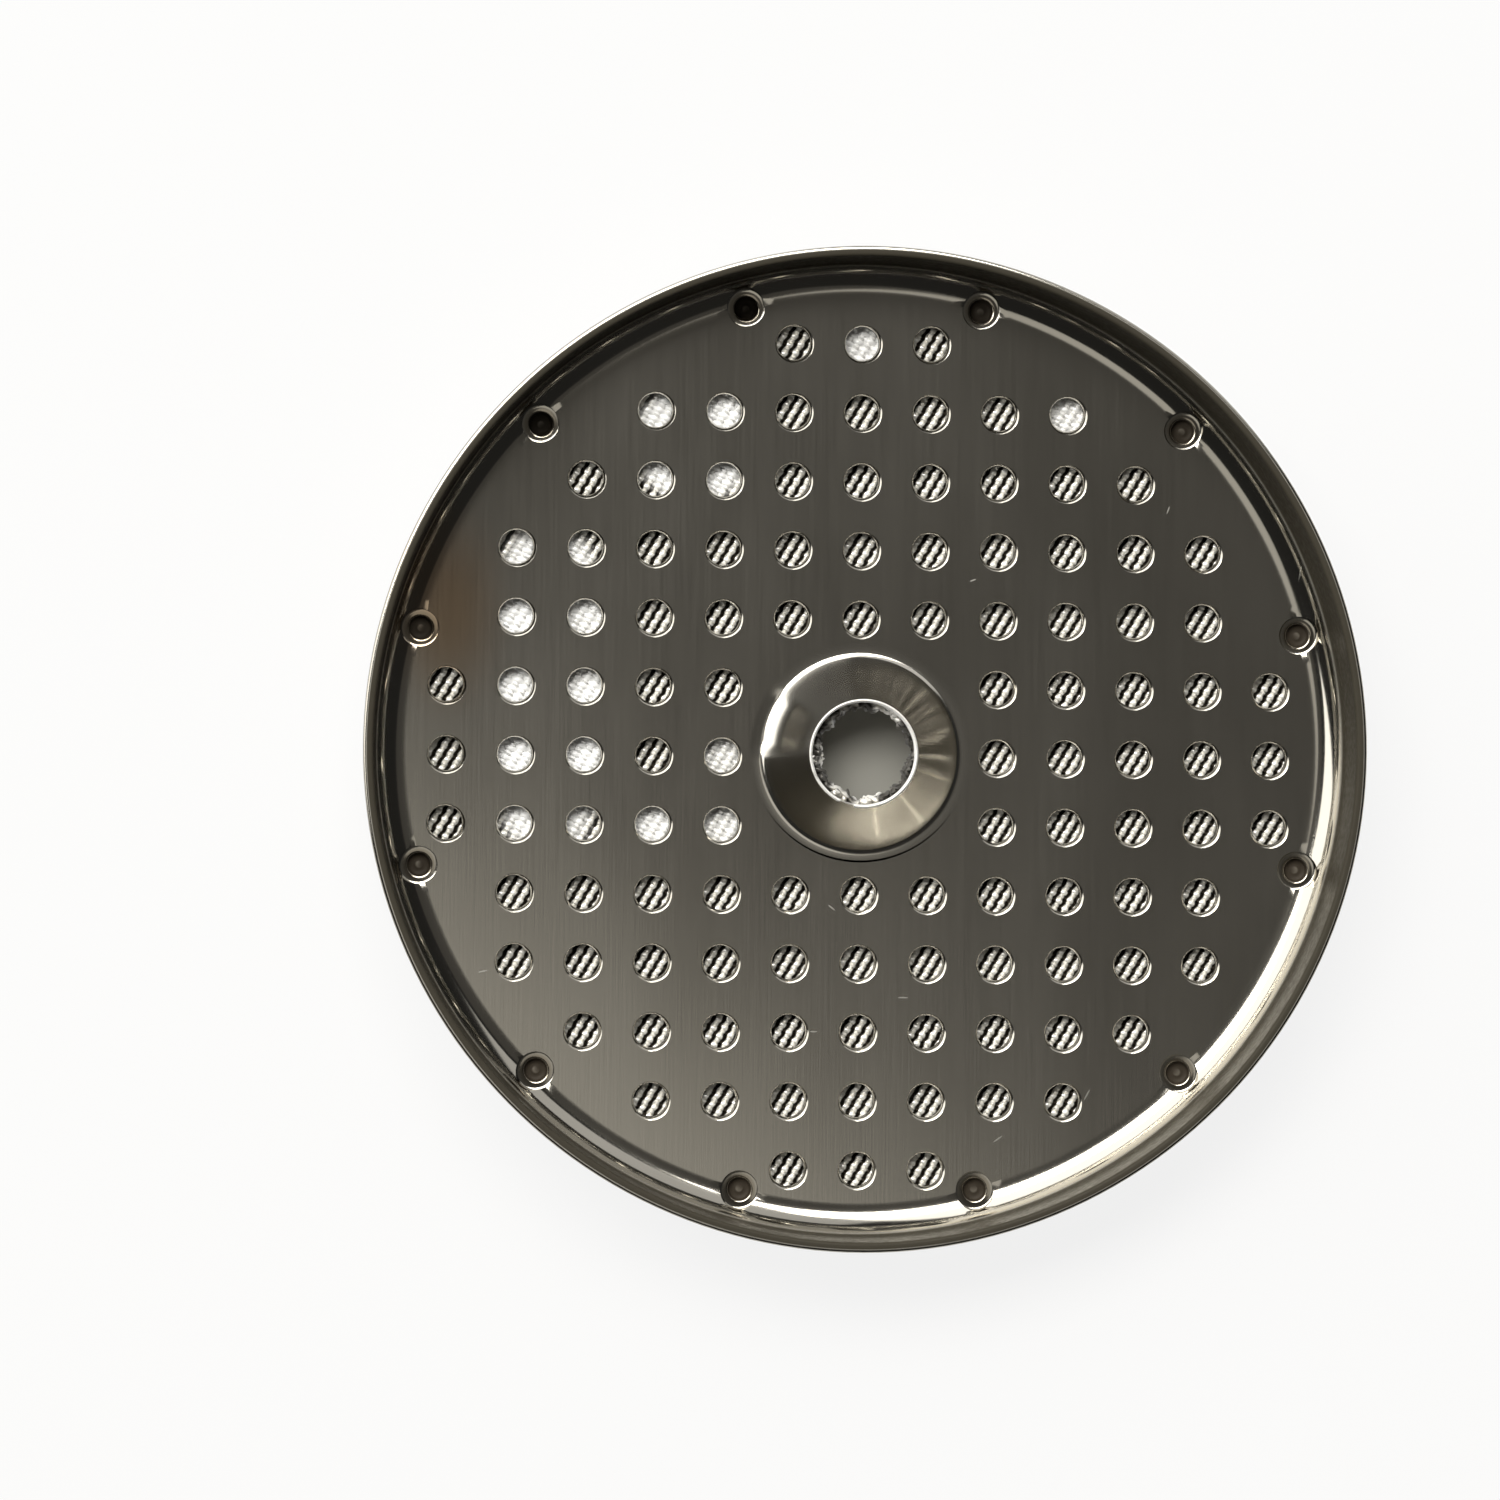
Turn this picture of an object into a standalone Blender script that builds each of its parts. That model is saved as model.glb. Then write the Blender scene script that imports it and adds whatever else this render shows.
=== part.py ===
"""Espresso shower screen: a perforated steel pan with a woven wire mesh welded under its floor.

The pan lies with its open side up, the side that faces the machine's group. The mesh is the lowest
layer, the side that faces the coffee. Metres, +Z up, origin in the middle of the face that it rests on.
"""

import math

import bmesh
import bpy
from mathutils import Matrix, Vector

MM = 0.001

# Pan: one disc of sheet steel, punched, coned in the middle and drawn up round its edge
SCREEN_DIAMETER = 57.5 * MM
SHEET_THICKNESS = 0.6 * MM
RIM_HEIGHT = 5.5 * MM  # from the floor's upper face to the crest
RIM_BEND_RADIUS = 1.7 * MM  # inside the bend between floor and rim
CREST_ROUNDING = 0.17 * MM

# Screw cone: stands up from the floor, and is the countersink for the screw from below
CONE_BASE_DIAMETER = 11.4 * MM  # where its slope would meet the floor's upper face
CONE_SLOPE = math.radians(45)
CONE_BEND_RADIUS = 0.8 * MM
SCREW_BORE = 6.1 * MM
CONE_OFFSET = -0.24 * MM  # the press left it this far from the rim's middle, along Y

# Perforation: a square grid clipped to a circle, and kept off the cone
HOLE_DIAMETER = 2.3 * MM
HOLE_PITCH = 4.0 * MM
HOLE_RIM_MARGIN = 0.5 * MM  # flat floor left between a hole and the bend of the rim
HOLE_GRID_OFFSET = -0.47 * MM  # the punching sits this far from the rim's middle, along Y

# Spot welds: a shallow dish with a deeper pit, pressed into the floor's upper face
WELD_COUNT = 12
WELD_DISH_DIAMETER = 2.3 * MM
WELD_DISH_DEPTH = 0.12 * MM
WELD_PIT_DIAMETER = 1.3 * MM
WELD_PIT_FLOOR_DIAMETER = 0.8 * MM
WELD_PIT_DEPTH = 0.3 * MM

# Mesh: two layers of wire crossing at right angles, shown as ridges on both faces of one wall
MESH_SETBACK = 1.65 * MM  # from the rim's outside in to the mesh's edge
WIRE_DIAMETER = 0.3 * MM
WIRE_PITCH = 0.6 * MM
WIRE_ANGLE = math.radians(59)  # of the wires that show through the pan's holes, from +X
SPARE_WIRES = 1  # ridges that each layer has past the mesh's edge, to be trimmed off
RIDGE_HEIGHT = 0.2 * MM
GAP_WIDTH = 0.33 * MM  # the open square between neighbouring wires
GAP_STAGGER = 2  # a gap lies under every second hole, as on a chessboard
MESH_BORE = 5.2 * MM
IRONED_WIDTH = 0.4 * MM  # flat ring where the press smooths the weave round the cone

# The layers lie this far apart, because the mesh only touches the pan at its welds
LAYER_CLEARANCE = 0.3 * MM

# Finishes
PAN_COLOUR = (0.30, 0.29, 0.27)
PAN_ROUGHNESS = 0.3
WIRE_COLOUR = (0.62, 0.60, 0.56)
WIRE_ROUGHNESS = 0.35
CREST_EDGE_ANGLE = math.radians(60)  # an edge at least this sharp is rounded
SHADING_ANGLE = math.radians(30)  # an edge sharper than this is drawn as an edge

# How finely the round shapes are divided
TURN_STEPS = 48
COLLAR_STEPS = 24
RIM_BEND_STEPS = 3
CONE_BEND_STEPS = 2
CREST_STEPS = 1
HOLE_SIDES = 10
WELD_SIDES = 8

# Sizes that follow from the ones above
MESH_THICKNESS = 2 * WIRE_DIAMETER
FLOOR_UNDERSIDE = MESH_THICKNESS + LAYER_CLEARANCE
FLOOR_TOP = FLOOR_UNDERSIDE + SHEET_THICKNESS
CREST_TOP = FLOOR_TOP + RIM_HEIGHT
RIM_INNER_RADIUS = SCREEN_DIAMETER / 2 - SHEET_THICKNESS
FLAT_RADIUS = RIM_INNER_RADIUS - RIM_BEND_RADIUS  # where the floor turns up, and the welds lie
MESH_RADIUS = SCREEN_DIAMETER / 2 - MESH_SETBACK
CONE_BEND_CENTRE = Vector((
    CONE_BASE_DIAMETER / 2 + CONE_BEND_RADIUS * math.tan(CONE_SLOPE / 2),
    FLOOR_TOP + CONE_BEND_RADIUS,
))
CONE_REACH = CONE_BEND_CENTRE.x + IRONED_WIDTH
CUT_OVERRUN = 1.0 * MM  # how far a cutter passes the faces that it cuts
WELD_TOLERANCE = 0.001 * MM


def clear_scene():
    for obj in list(bpy.data.objects):
        bpy.data.objects.remove(obj, do_unlink=True)


def new_collection(name):
    collection = bpy.data.collections.new(name)
    bpy.context.scene.collection.children.link(collection)
    return collection


def steel(name, colour, roughness):
    material = bpy.data.materials.new(name)
    material.use_nodes = True
    shader = material.node_tree.nodes["Principled BSDF"]
    shader.inputs["Base Color"].default_value = (*colour, 1.0)
    shader.inputs["Metallic"].default_value = 1.0
    shader.inputs["Roughness"].default_value = roughness
    return material


def object_from(bm, name, collection):
    mesh = bpy.data.meshes.new(name)
    bm.to_mesh(mesh)
    bm.free()
    obj = bpy.data.objects.new(name, mesh)
    collection.objects.link(obj)
    return obj


def mark_as_cutter(obj):
    obj.hide_render = True
    obj.display_type = "WIRE"
    return obj


def applied(obj):
    """Bakes the object's modifiers and its place into its mesh."""
    graph = bpy.context.evaluated_depsgraph_get()
    mesh = bpy.data.meshes.new_from_object(obj.evaluated_get(graph))
    mesh.transform(obj.matrix_world)
    obj.modifiers.clear()
    obj.data = mesh
    obj.matrix_world = Matrix.Identity(4)
    return obj


def arc(centre, radius, start, end, steps):
    """Points (r, z) on an arc, both ends included, with angles measured from +r towards +z."""
    turn = (end - start) / steps
    return [
        centre + radius * Vector((math.cos(start + turn * i), math.sin(start + turn * i)))
        for i in range(steps + 1)
    ]


def turned(name, profile, collection, steps, closed):
    """A profile of (r, z) points, spun once round Z."""
    bm = bmesh.new()
    corners = [bm.verts.new((point[0], 0.0, point[1])) for point in profile]
    for first, second in zip(corners, corners[1:]):
        bm.edges.new((first, second))
    if closed:
        bm.edges.new((corners[-1], corners[0]))
    obj = object_from(bm, name, collection)
    screw = obj.modifiers.new("Turn", "SCREW")
    screw.axis = "Z"
    screw.angle = math.tau
    screw.steps = steps
    screw.render_steps = steps
    screw.use_merge_vertices = True
    screw.merge_threshold = WELD_TOLERANCE
    return obj


def cut(obj, cutter, operation):
    boolean = obj.modifiers.new(f"{operation.title()} {cutter.name}", "BOOLEAN")
    boolean.operation = operation
    boolean.object = cutter
    boolean.solver = "EXACT"


def cylinders(name, places, radius, bottom, top, sides, collection):
    """One cutter that holds an upright cylinder at each place."""
    bm = bmesh.new()
    for x, y in places:
        bmesh.ops.create_cone(
            bm,
            cap_ends=True,
            segments=sides,
            radius1=radius,
            radius2=radius,
            depth=top - bottom,
            matrix=Matrix.Translation((x, y, (top + bottom) / 2)),
        )
    return mark_as_cutter(object_from(bm, name, collection))


def hole_places(stagger=1):
    """Middles of the pan's holes: a square grid inside a circle, less those that would touch the cone.

    A stagger of 2 gives every second hole, as the squares of one colour on a chessboard.
    """
    nearest = (CONE_BASE_DIAMETER + HOLE_DIAMETER) / 2
    furthest = FLAT_RADIUS - HOLE_RIM_MARGIN - HOLE_DIAMETER / 2
    reach = math.floor(furthest / HOLE_PITCH)
    places = []
    for row in range(-reach, reach + 1):
        for column in range(-reach, reach + 1):
            x = column * HOLE_PITCH
            y = row * HOLE_PITCH
            if nearest <= math.hypot(x, y) <= furthest and (row + column) % stagger == 0:
                places.append((x, y + HOLE_GRID_OFFSET))
    return places


def weld_places():
    step = math.tau / WELD_COUNT
    angles = [step * i + step / 2 for i in range(WELD_COUNT)]
    return [(FLAT_RADIUS * math.cos(angle), FLAT_RADIUS * math.sin(angle)) for angle in angles]


def cone_height_at(radius, bend_radius):
    """Height of a face of the cone, which bends round CONE_BEND_CENTRE at bend_radius, at this radius."""
    foot = CONE_BEND_CENTRE + bend_radius * Vector((-math.sin(CONE_SLOPE), -math.cos(CONE_SLOPE)))
    return foot.y + (foot.x - radius) * math.tan(CONE_SLOPE)


def cone_bend(bend_radius):
    """The bend from the floor to the cone's slope, from outside to inside."""
    down = -math.pi / 2
    return arc(CONE_BEND_CENTRE, bend_radius, down, down - CONE_SLOPE, CONE_BEND_STEPS)


def weld_cutter(collection):
    """The shape that the electrode leaves, once at each weld."""
    dish_radius = WELD_DISH_DIAMETER / 2
    profile = [
        (0.0, FLOOR_TOP + CUT_OVERRUN),
        (dish_radius, FLOOR_TOP + CUT_OVERRUN),
        (dish_radius, FLOOR_TOP - WELD_DISH_DEPTH / 2),
        (WELD_PIT_DIAMETER / 2, FLOOR_TOP - WELD_DISH_DEPTH),
        (WELD_PIT_FLOOR_DIAMETER / 2, FLOOR_TOP - WELD_PIT_DEPTH),
        (0.0, FLOOR_TOP - WELD_PIT_DEPTH),
    ]
    pattern = applied(turned("weld_shape", profile, collection, WELD_SIDES, closed=False))
    bm = bmesh.new()
    for x, y in weld_places():
        before = set(bm.verts)
        bm.from_mesh(pattern.data)
        copy = [vert for vert in bm.verts if vert not in before]
        bmesh.ops.translate(bm, vec=(x, y, 0.0), verts=copy)
    bpy.data.objects.remove(pattern)
    return mark_as_cutter(object_from(bm, "weld_pits", collection))


def perforated_pan(parts, cutters):
    """The pressed sheet: rim, floor and cone as one turned face given its thickness, then punched."""
    overrun_radius = SCREW_BORE / 2 - SHEET_THICKNESS
    profile = [Vector((RIM_INNER_RADIUS, CREST_TOP))]
    profile += arc(
        Vector((FLAT_RADIUS, FLOOR_TOP + RIM_BEND_RADIUS)),
        RIM_BEND_RADIUS,
        0.0,
        -math.pi / 2,
        RIM_BEND_STEPS,
    )
    profile += cone_bend(CONE_BEND_RADIUS)
    profile.append(Vector((overrun_radius, cone_height_at(overrun_radius, CONE_BEND_RADIUS))))
    pan = turned("perforated_pan", profile, parts, TURN_STEPS, closed=False)

    sheet = pan.modifiers.new("Sheet thickness", "SOLIDIFY")
    sheet.thickness = SHEET_THICKNESS
    sheet.offset = 1.0
    sheet.use_even_offset = True
    crest = pan.modifiers.new("Round the crest", "BEVEL")
    crest.width = CREST_ROUNDING
    crest.segments = CREST_STEPS
    crest.limit_method = "ANGLE"
    crest.angle_limit = CREST_EDGE_ANGLE
    applied(pan)
    for vert in pan.data.vertices:
        if math.hypot(vert.co.x, vert.co.y) < CONE_REACH:
            vert.co.y += CONE_OFFSET

    bore = cylinders(
        "screw_bore", [(0.0, CONE_OFFSET)], SCREW_BORE / 2, 0.0, CREST_TOP, TURN_STEPS, cutters
    )
    holes = cylinders(
        "punched_holes",
        hole_places(),
        HOLE_DIAMETER / 2,
        FLOOR_UNDERSIDE - CUT_OVERRUN,
        FLOOR_TOP + CUT_OVERRUN,
        HOLE_SIDES,
        cutters,
    )
    cut(pan, bore, "DIFFERENCE")
    cut(pan, holes, "DIFFERENCE")
    cut(pan, weld_cutter(cutters), "DIFFERENCE")
    pan.data.materials.append(steel("pressed steel", PAN_COLOUR, PAN_ROUGHNESS))
    return pan


def ridged_block(name, angle, facing, collection):
    """A block whose upper (facing 1) or lower (facing -1) side carries a ridge for each wire of a layer.

    The ridges run at the given angle from +X, one in each pitch, with a valley on the middle line.
    """
    middle = MESH_THICKNESS / 2
    crest = middle + facing * MESH_THICKNESS / 2
    valley = crest - facing * RIDGE_HEIGHT
    back = middle - facing * (MESH_THICKNESS / 2 + CUT_OVERRUN)
    wires = math.ceil(MESH_RADIUS / WIRE_PITCH) + SPARE_WIRES
    end = wires * WIRE_PITCH
    outline = [(-end, back)]
    for wire in range(-wires, wires):
        start = wire * WIRE_PITCH
        outline.append((start, valley))
        outline.append((start + WIRE_PITCH / 2, crest))
    outline += [(end, valley), (end, back)]
    bm = bmesh.new()
    face = bm.faces.new([bm.verts.new((-end, across, height)) for across, height in outline])
    extruded = bmesh.ops.extrude_face_region(bm, geom=[face])
    moved = [item for item in extruded["geom"] if isinstance(item, bmesh.types.BMVert)]
    bmesh.ops.translate(bm, vec=(2 * end, 0.0, 0.0), verts=moved)
    bmesh.ops.recalc_face_normals(bm, faces=bm.faces)
    bmesh.ops.rotate(bm, verts=bm.verts, cent=(0.0, 0.0, 0.0), matrix=Matrix.Rotation(angle, 3, "Z"))
    return mark_as_cutter(object_from(bm, name, collection))


def gap_places():
    """The crossing of two valleys nearest to the middle of each staggered hole."""
    to_wires = Matrix.Rotation(-WIRE_ANGLE, 2)
    places = []
    for place in hole_places(GAP_STAGGER):
        along, across = to_wires @ Vector(place)
        nearest = Vector((round(along / WIRE_PITCH), round(across / WIRE_PITCH))) * WIRE_PITCH
        places.append(to_wires.inverted() @ nearest)
    return places


def gap_cutter(collection):
    bm = bmesh.new()
    for x, y in gap_places():
        matrix = (
            Matrix.Translation((x, y, MESH_THICKNESS / 2))
            @ Matrix.Rotation(WIRE_ANGLE, 4, "Z")
            @ Matrix.Diagonal((GAP_WIDTH, GAP_WIDTH, MESH_THICKNESS + 2 * CUT_OVERRUN, 1.0))
        )
        bmesh.ops.create_cube(bm, size=1.0, matrix=matrix)
    return mark_as_cutter(object_from(bm, "mesh_gaps", collection))


def screw_collar(collection):
    """The mesh where the press has ironed it smooth, up inside the pan's cone to the screw's hole."""
    upper_bend = CONE_BEND_RADIUS + SHEET_THICKNESS + LAYER_CLEARANCE
    lower_bend = upper_bend + MESH_THICKNESS
    hole_radius = MESH_BORE / 2
    profile = [Vector((CONE_REACH, MESH_THICKNESS))]
    profile.append(Vector((CONE_REACH, 0.0)))
    profile += cone_bend(lower_bend)
    profile.append(Vector((hole_radius, cone_height_at(hole_radius, lower_bend))))
    profile.append(Vector((hole_radius, cone_height_at(hole_radius, upper_bend))))
    profile += reversed(cone_bend(upper_bend))
    collar = turned("screw_collar", profile, collection, COLLAR_STEPS, closed=True)
    collar.location.y = CONE_OFFSET
    return mark_as_cutter(applied(collar))


def woven_mesh(parts, cutters):
    """The mesh disc: one wall with a ridge for each wire, open gaps under the holes, and the collar."""
    bm = bmesh.new()
    bmesh.ops.create_cone(
        bm,
        cap_ends=True,
        segments=TURN_STEPS,
        radius1=MESH_RADIUS,
        radius2=MESH_RADIUS,
        depth=MESH_THICKNESS + 2 * CUT_OVERRUN,
        matrix=Matrix.Translation((0.0, 0.0, MESH_THICKNESS / 2)),
    )
    mesh = object_from(bm, "woven_mesh", parts)
    middle = cylinders(
        "mesh_middle",
        [(0.0, CONE_OFFSET)],
        CONE_BEND_CENTRE.x,
        -2 * CUT_OVERRUN,
        MESH_THICKNESS + 2 * CUT_OVERRUN,
        TURN_STEPS,
        cutters,
    )
    cut(mesh, ridged_block("upper_wires", WIRE_ANGLE, 1, cutters), "INTERSECT")
    cut(mesh, ridged_block("lower_wires", WIRE_ANGLE + math.pi / 2, -1, cutters), "INTERSECT")
    cut(mesh, middle, "DIFFERENCE")
    cut(mesh, gap_cutter(cutters), "DIFFERENCE")
    cut(mesh, screw_collar(cutters), "UNION")
    mesh.data.materials.append(steel("steel wire", WIRE_COLOUR, WIRE_ROUGHNESS))
    return mesh


def main():
    clear_scene()
    parts = new_collection("espresso_shower_screen")
    cutters = new_collection("cutters")
    for part in (perforated_pan(parts, cutters), woven_mesh(parts, cutters)):
        applied(part)
        part.data.shade_smooth()
        part.data.set_sharp_from_angle(angle=SHADING_ANGLE)


main()
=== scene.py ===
import math

import bmesh
import bpy
from mathutils import Matrix, Vector


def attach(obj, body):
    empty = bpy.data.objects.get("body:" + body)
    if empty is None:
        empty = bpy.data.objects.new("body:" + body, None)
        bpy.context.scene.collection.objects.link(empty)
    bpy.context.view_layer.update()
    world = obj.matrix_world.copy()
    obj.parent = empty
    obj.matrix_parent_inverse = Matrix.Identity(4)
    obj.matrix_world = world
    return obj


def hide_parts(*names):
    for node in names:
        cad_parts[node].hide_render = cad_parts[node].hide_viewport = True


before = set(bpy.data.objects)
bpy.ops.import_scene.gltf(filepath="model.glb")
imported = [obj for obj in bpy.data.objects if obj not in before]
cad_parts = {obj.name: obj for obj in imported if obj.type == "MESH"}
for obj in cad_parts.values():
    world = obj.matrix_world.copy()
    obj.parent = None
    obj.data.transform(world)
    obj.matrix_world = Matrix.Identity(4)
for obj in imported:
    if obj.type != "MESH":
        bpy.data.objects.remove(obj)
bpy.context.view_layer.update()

MM = 0.001

# Sizes as in the CAD model
SCREEN_RADIUS = 28.75 * MM
SHEET = 0.6 * MM
FLOOR_TOP = 1.5 * MM
FLOOR_UNDERSIDE = FLOOR_TOP - SHEET
CREST_TOP = 7.0 * MM
CREST_ROUNDING = 0.17 * MM
CREST_EDGE_ANGLE = math.radians(60)  # an edge at least this sharp is rounded
RIM_INNER_RADIUS = SCREEN_RADIUS - SHEET
RIM_BEND_RADIUS = 1.7 * MM
FLAT_RADIUS = RIM_INNER_RADIUS - RIM_BEND_RADIUS  # where the floor turns up, and the welds lie
CONE_SLOPE = math.radians(45)
CONE_BASE_RADIUS = 5.7 * MM  # where its slope would meet the floor's upper face
CONE_OFFSET = -0.24 * MM  # the press left it this far from the rim's middle, along Y
SCREW_BORE_RADIUS = 3.05 * MM
HOLE_RADIUS = 1.15 * MM
HOLE_PITCH = 4.0 * MM
HOLE_GRID_OFFSET = -0.47 * MM  # the punching sits this far from the rim's middle, along Y
HOLE_FIELD_RADIUS = 24.8 * MM
CONE_CLEAR_RADIUS = 6.85 * MM
WELD_COUNT = 12
MESH_RADIUS = 27.1 * MM

# The cone, where the finer pan departs from the CAD model to follow the photo
CONE_BEND_RADIUS = 0.55 * MM
CONE_BEND_CENTRE = Vector((
    CONE_BASE_RADIUS + CONE_BEND_RADIUS * math.tan(CONE_SLOPE / 2), FLOOR_TOP + CONE_BEND_RADIUS,
))
CONE_REACH = CONE_BEND_CENTRE.x + 0.4 * MM
CONE_HOLLOW = math.radians(5.0)  # drawing the cone left it flatter at its foot
CONE_TOP_SLOPE = math.radians(46.2)
CONE_TOP = FLOOR_TOP + 2.65 * MM
CONE_SPARE = 0.75 * MM  # the slope runs on this far into the bore, which is cut later
DENT_AZIMUTH = math.radians(161)  # the cone is pressed flatter on this side
DENT_HALF_WIDTH = math.radians(22)
DENT_DEPTH = 0.2 * MM
DENT_FOOT, DENT_DEEPEST, DENT_TOP = 6.3 * MM, 4.9 * MM, 3.5 * MM  # radii on the cone
DENT_SIDES = 2.2  # how many times steeper the dent's sides are than one even slope
BORE_RADIUS = SCREW_BORE_RADIUS - 0.1 * MM
BORE_LIP = 0.17 * MM
BORE_FOOT = 1.0 * MM

# The holes and welds of the finer pan
HOLE_THROAT = 0.97 * MM  # the punch rolls the edge over, down to this radius
HOLE_THROAT_SHIFT = Vector((-0.05 * MM, 0.06 * MM))  # the worn punch cuts a little off centre
HOLE_ROLL_DEPTH = 0.34 * MM
HOLE_ROLL_DEGREES = (8, 24, 40, 57, 74, 90)
HOLE_FLARE, HOLE_FLARE_HEIGHT = 0.04 * MM, 0.12 * MM  # the hole widens again at its lower edge
PUNCH_HEAD = 8  # steps of the shoulder's first slope that the punch rises above the floor
PUNCH_OVERRUN = 0.1 * MM
# Rows of radius and rise, in millimetres: above the floor's upper face for the electrode, above
# the floor's underside for the nugget's head, and above the resting face for its foot
WELD_ELECTRODE = (
    (0.0, 0.9), (1.30, 0.9), (1.12, 0.02), (1.08, -0.002), (0.94, -0.008), (0.82, -0.017),
    (0.73, -0.026), (0.68, -0.06), (0.64, -0.17), (0.58, -0.30), (0.46, -0.36), (0.30, -0.37),
    (0.14, -0.33), (0.0, -0.32),
)
NUGGET_HEAD = ((0.0, 0.05), (0.95, 0.05), (0.86, -0.12))
NUGGET_FOOT = ((0.72, 0.5), (0.70, 0.07), (0.62, 0.03), (0.0, 0.05))
# Rows of a share of the lip's width, and a rise above the cone's top in millimetres
BORE_MOUTH = ((1.1, 1.2), (1.1, -0.02), (0.62, -0.045), (0.25, -0.12), (0.0, -0.26))

# The woven wires
WARP_ANGLE = math.radians(59.2)
WEFT_ANGLE = math.radians(157.2)
WARP_SPACING = 0.561 * MM  # measured square to the warp wires
WEFT_STEP = 0.2974 * MM  # measured along a warp wire
WARP_RADIUS = 0.178 * MM
WEFT_RADIUS = 0.175 * MM
WARP_LIFT = 0.212 * MM  # how far a wire swings up and down round the wires that cross it
WEFT_LIFT = 0.142 * MM
WARP_RINGS, WEFT_RINGS = 2, 3  # corners of a wire in each half wave
WIRE_SIDES = 6
SPARE_HALF_WAVES = 3  # how far each end of a wire passes the mesh's edge, to be trimmed off
WEFT_CUTS = (0.36, 0.64)  # shares of the weft wires where one piece ends and the next begins
MESH_MIDDLE = 0.47 * MM
CUTTER_HEIGHT = 12 * MM
# The torn hole for the screw: its radius, its shift along X and Y, and the waves of its edge, as
# rows of depth, count and start
TORN_RADIUS = 2.66 * MM
TORN_SHIFT = (0.13 * MM, 0.04 * MM)
TORN_CORNERS = 44
TORN_WAVES = ((0.03, 7, 0.8), (0.025, 17, 0.0), (0.025, 11, 2.0))

# How finely the surfaces are modelled and shaded
TURN_STEPS = 192
RIM_BEND_STEPS = 14
CONE_BEND_STEPS = 8
CONE_STEPS = 10
CREST_STEPS = 3
HOLE_SIDES, WELD_SIDES, NUGGET_SIDES = 32, 28, 24
WALL_RINGS = (0.0, 0.5, 1.7, 3.0)  # millimetres below the crest
GUARD_RING = 0.12 * MM  # a ring this far from each bend keeps the floor's shading flat
MID_FLOOR = 15 * MM
NEAR = 1e-6
LEVEL_TOLERANCE = 0.01 * MM
BEND_TOLERANCE = 0.02 * MM
CONE_TOLERANCE = 0.05 * MM
LEVEL_NORMAL = 0.99999
PAN_SHADING_ANGLE = math.radians(38)
WIRE_SHADING_ANGLE = math.radians(70)

# Where each look of the pan begins, and where it is full
POLISHED_RIM = (26.2 * MM, 27.2 * MM)
POLISHED_CONE = (6.7 * MM, 5.8 * MM)
# The rim's wall is painted dark: a painted dark reflection
PAINTED_WALL_INNER, PAINTED_WALL_OUTER = (27.55 * MM, 27.8 * MM), (28.6 * MM, 28.5 * MM)
PAINTED_WALL_HEIGHT = (2.35 * MM, 2.75 * MM)
# The punched hole walls are painted near black: painted shade
SHEARED_TOP = (FLOOR_TOP - 0.19 * MM, FLOOR_TOP - 0.26 * MM)
SHEARED_FOOT = (FLOOR_UNDERSIDE + 0.01 * MM, FLOOR_UNDERSIDE + 0.08 * MM)
# The weld pits are painted dark: painted shade, partly weld burn
PIT_DARK_EDGE, PIT_DARK_MIDDLE = (0.76 * MM, 0.68 * MM), (0.1 * MM, 0.25 * MM)
PIT_DARK_TOP, PIT_DARK_FOOT = (FLOOR_TOP - 0.03 * MM, FLOOR_TOP - 0.055 * MM), (0.9 * MM, 1.0 * MM)
HEATED_EDGE = (1.1 * MM, 0.8 * MM)
HEATED_TOP, HEATED_FOOT = (FLOOR_TOP + 0.1 * MM, FLOOR_TOP + 0.02 * MM), (1.0 * MM, 1.1 * MM)
# The bore's lip is painted bright: a painted highlight, partly the fresh cut edge
LIP_EDGE, LIP_FOOT = (3.17 * MM, 3.11 * MM), (3.7 * MM, 3.8 * MM)

# Where each look of the wires begins, and where it is full
FURROW_SHADE = (0.2 * MM, 0.135 * MM)  # painted shade in the furrows, from the middle of a row of crowns
COLLAR = (3.5 * MM, 3.1 * MM)
CROWN = (0.0, 0.12)  # millimetres from the middle of the weave
UPPER_SIDE = (MESH_MIDDLE - 0.1 * MM, MESH_MIDDLE)
FURROW_SWAY = 0.03 * MM
SWAY_LEAN = 5.2 / MM

# Colours of the steel and of the dirt on it, and of painted shade, glare and reflection
DARK_SHEET, LIGHT_SHEET = (0.48, 0.455, 0.40), (0.57, 0.545, 0.485)
CONE_SHEET = (0.72, 0.69, 0.62)
# The colour of a painted warm reflection
PAINTED_WARM_REFLECTION = (0.50, 0.38, 0.26)
BARE_SCRATCH = (0.8, 0.79, 0.74)
# The colour of the painted dark reflection on the rim's wall
RIM_WALL_PAINTED_DARK = (0.043, 0.038, 0.028)
HEAT_TINT = (0.24, 0.2, 0.14)
# Painted shade in the holes and weld pits, partly weld burn in the pits
SHADE_AND_BURNT_DIRT = (0.035, 0.028, 0.02)
# A painted highlight on the bore's lip, partly the fresh cut edge
CUT_EDGE_AND_HIGHLIGHT = (0.95, 0.94, 0.90)
DARK_WIRE, LIGHT_WIRE = (0.9, 0.88, 0.82), (0.97, 0.95, 0.9)
# Painted shade between and below the wire crowns, partly coffee residue
COFFEE_AND_SHADE = (0.016, 0.013, 0.009)
# The colour of the painted glare on the wires
WHITE_GLARE = (0.98, 0.98, 0.97)
# The lower shine goes with the painted shade, the painted reflection and the weld burn
LOW_SPECULAR, CLEAN_SPECULAR = 0.08, 0.5

# A painted warm reflection on the floor: x, y, half of the width and of the height in millimetres
WARM_REFLECTION_PATCH = (-24.0, 8.0, 4.2, 7.3)
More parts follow.
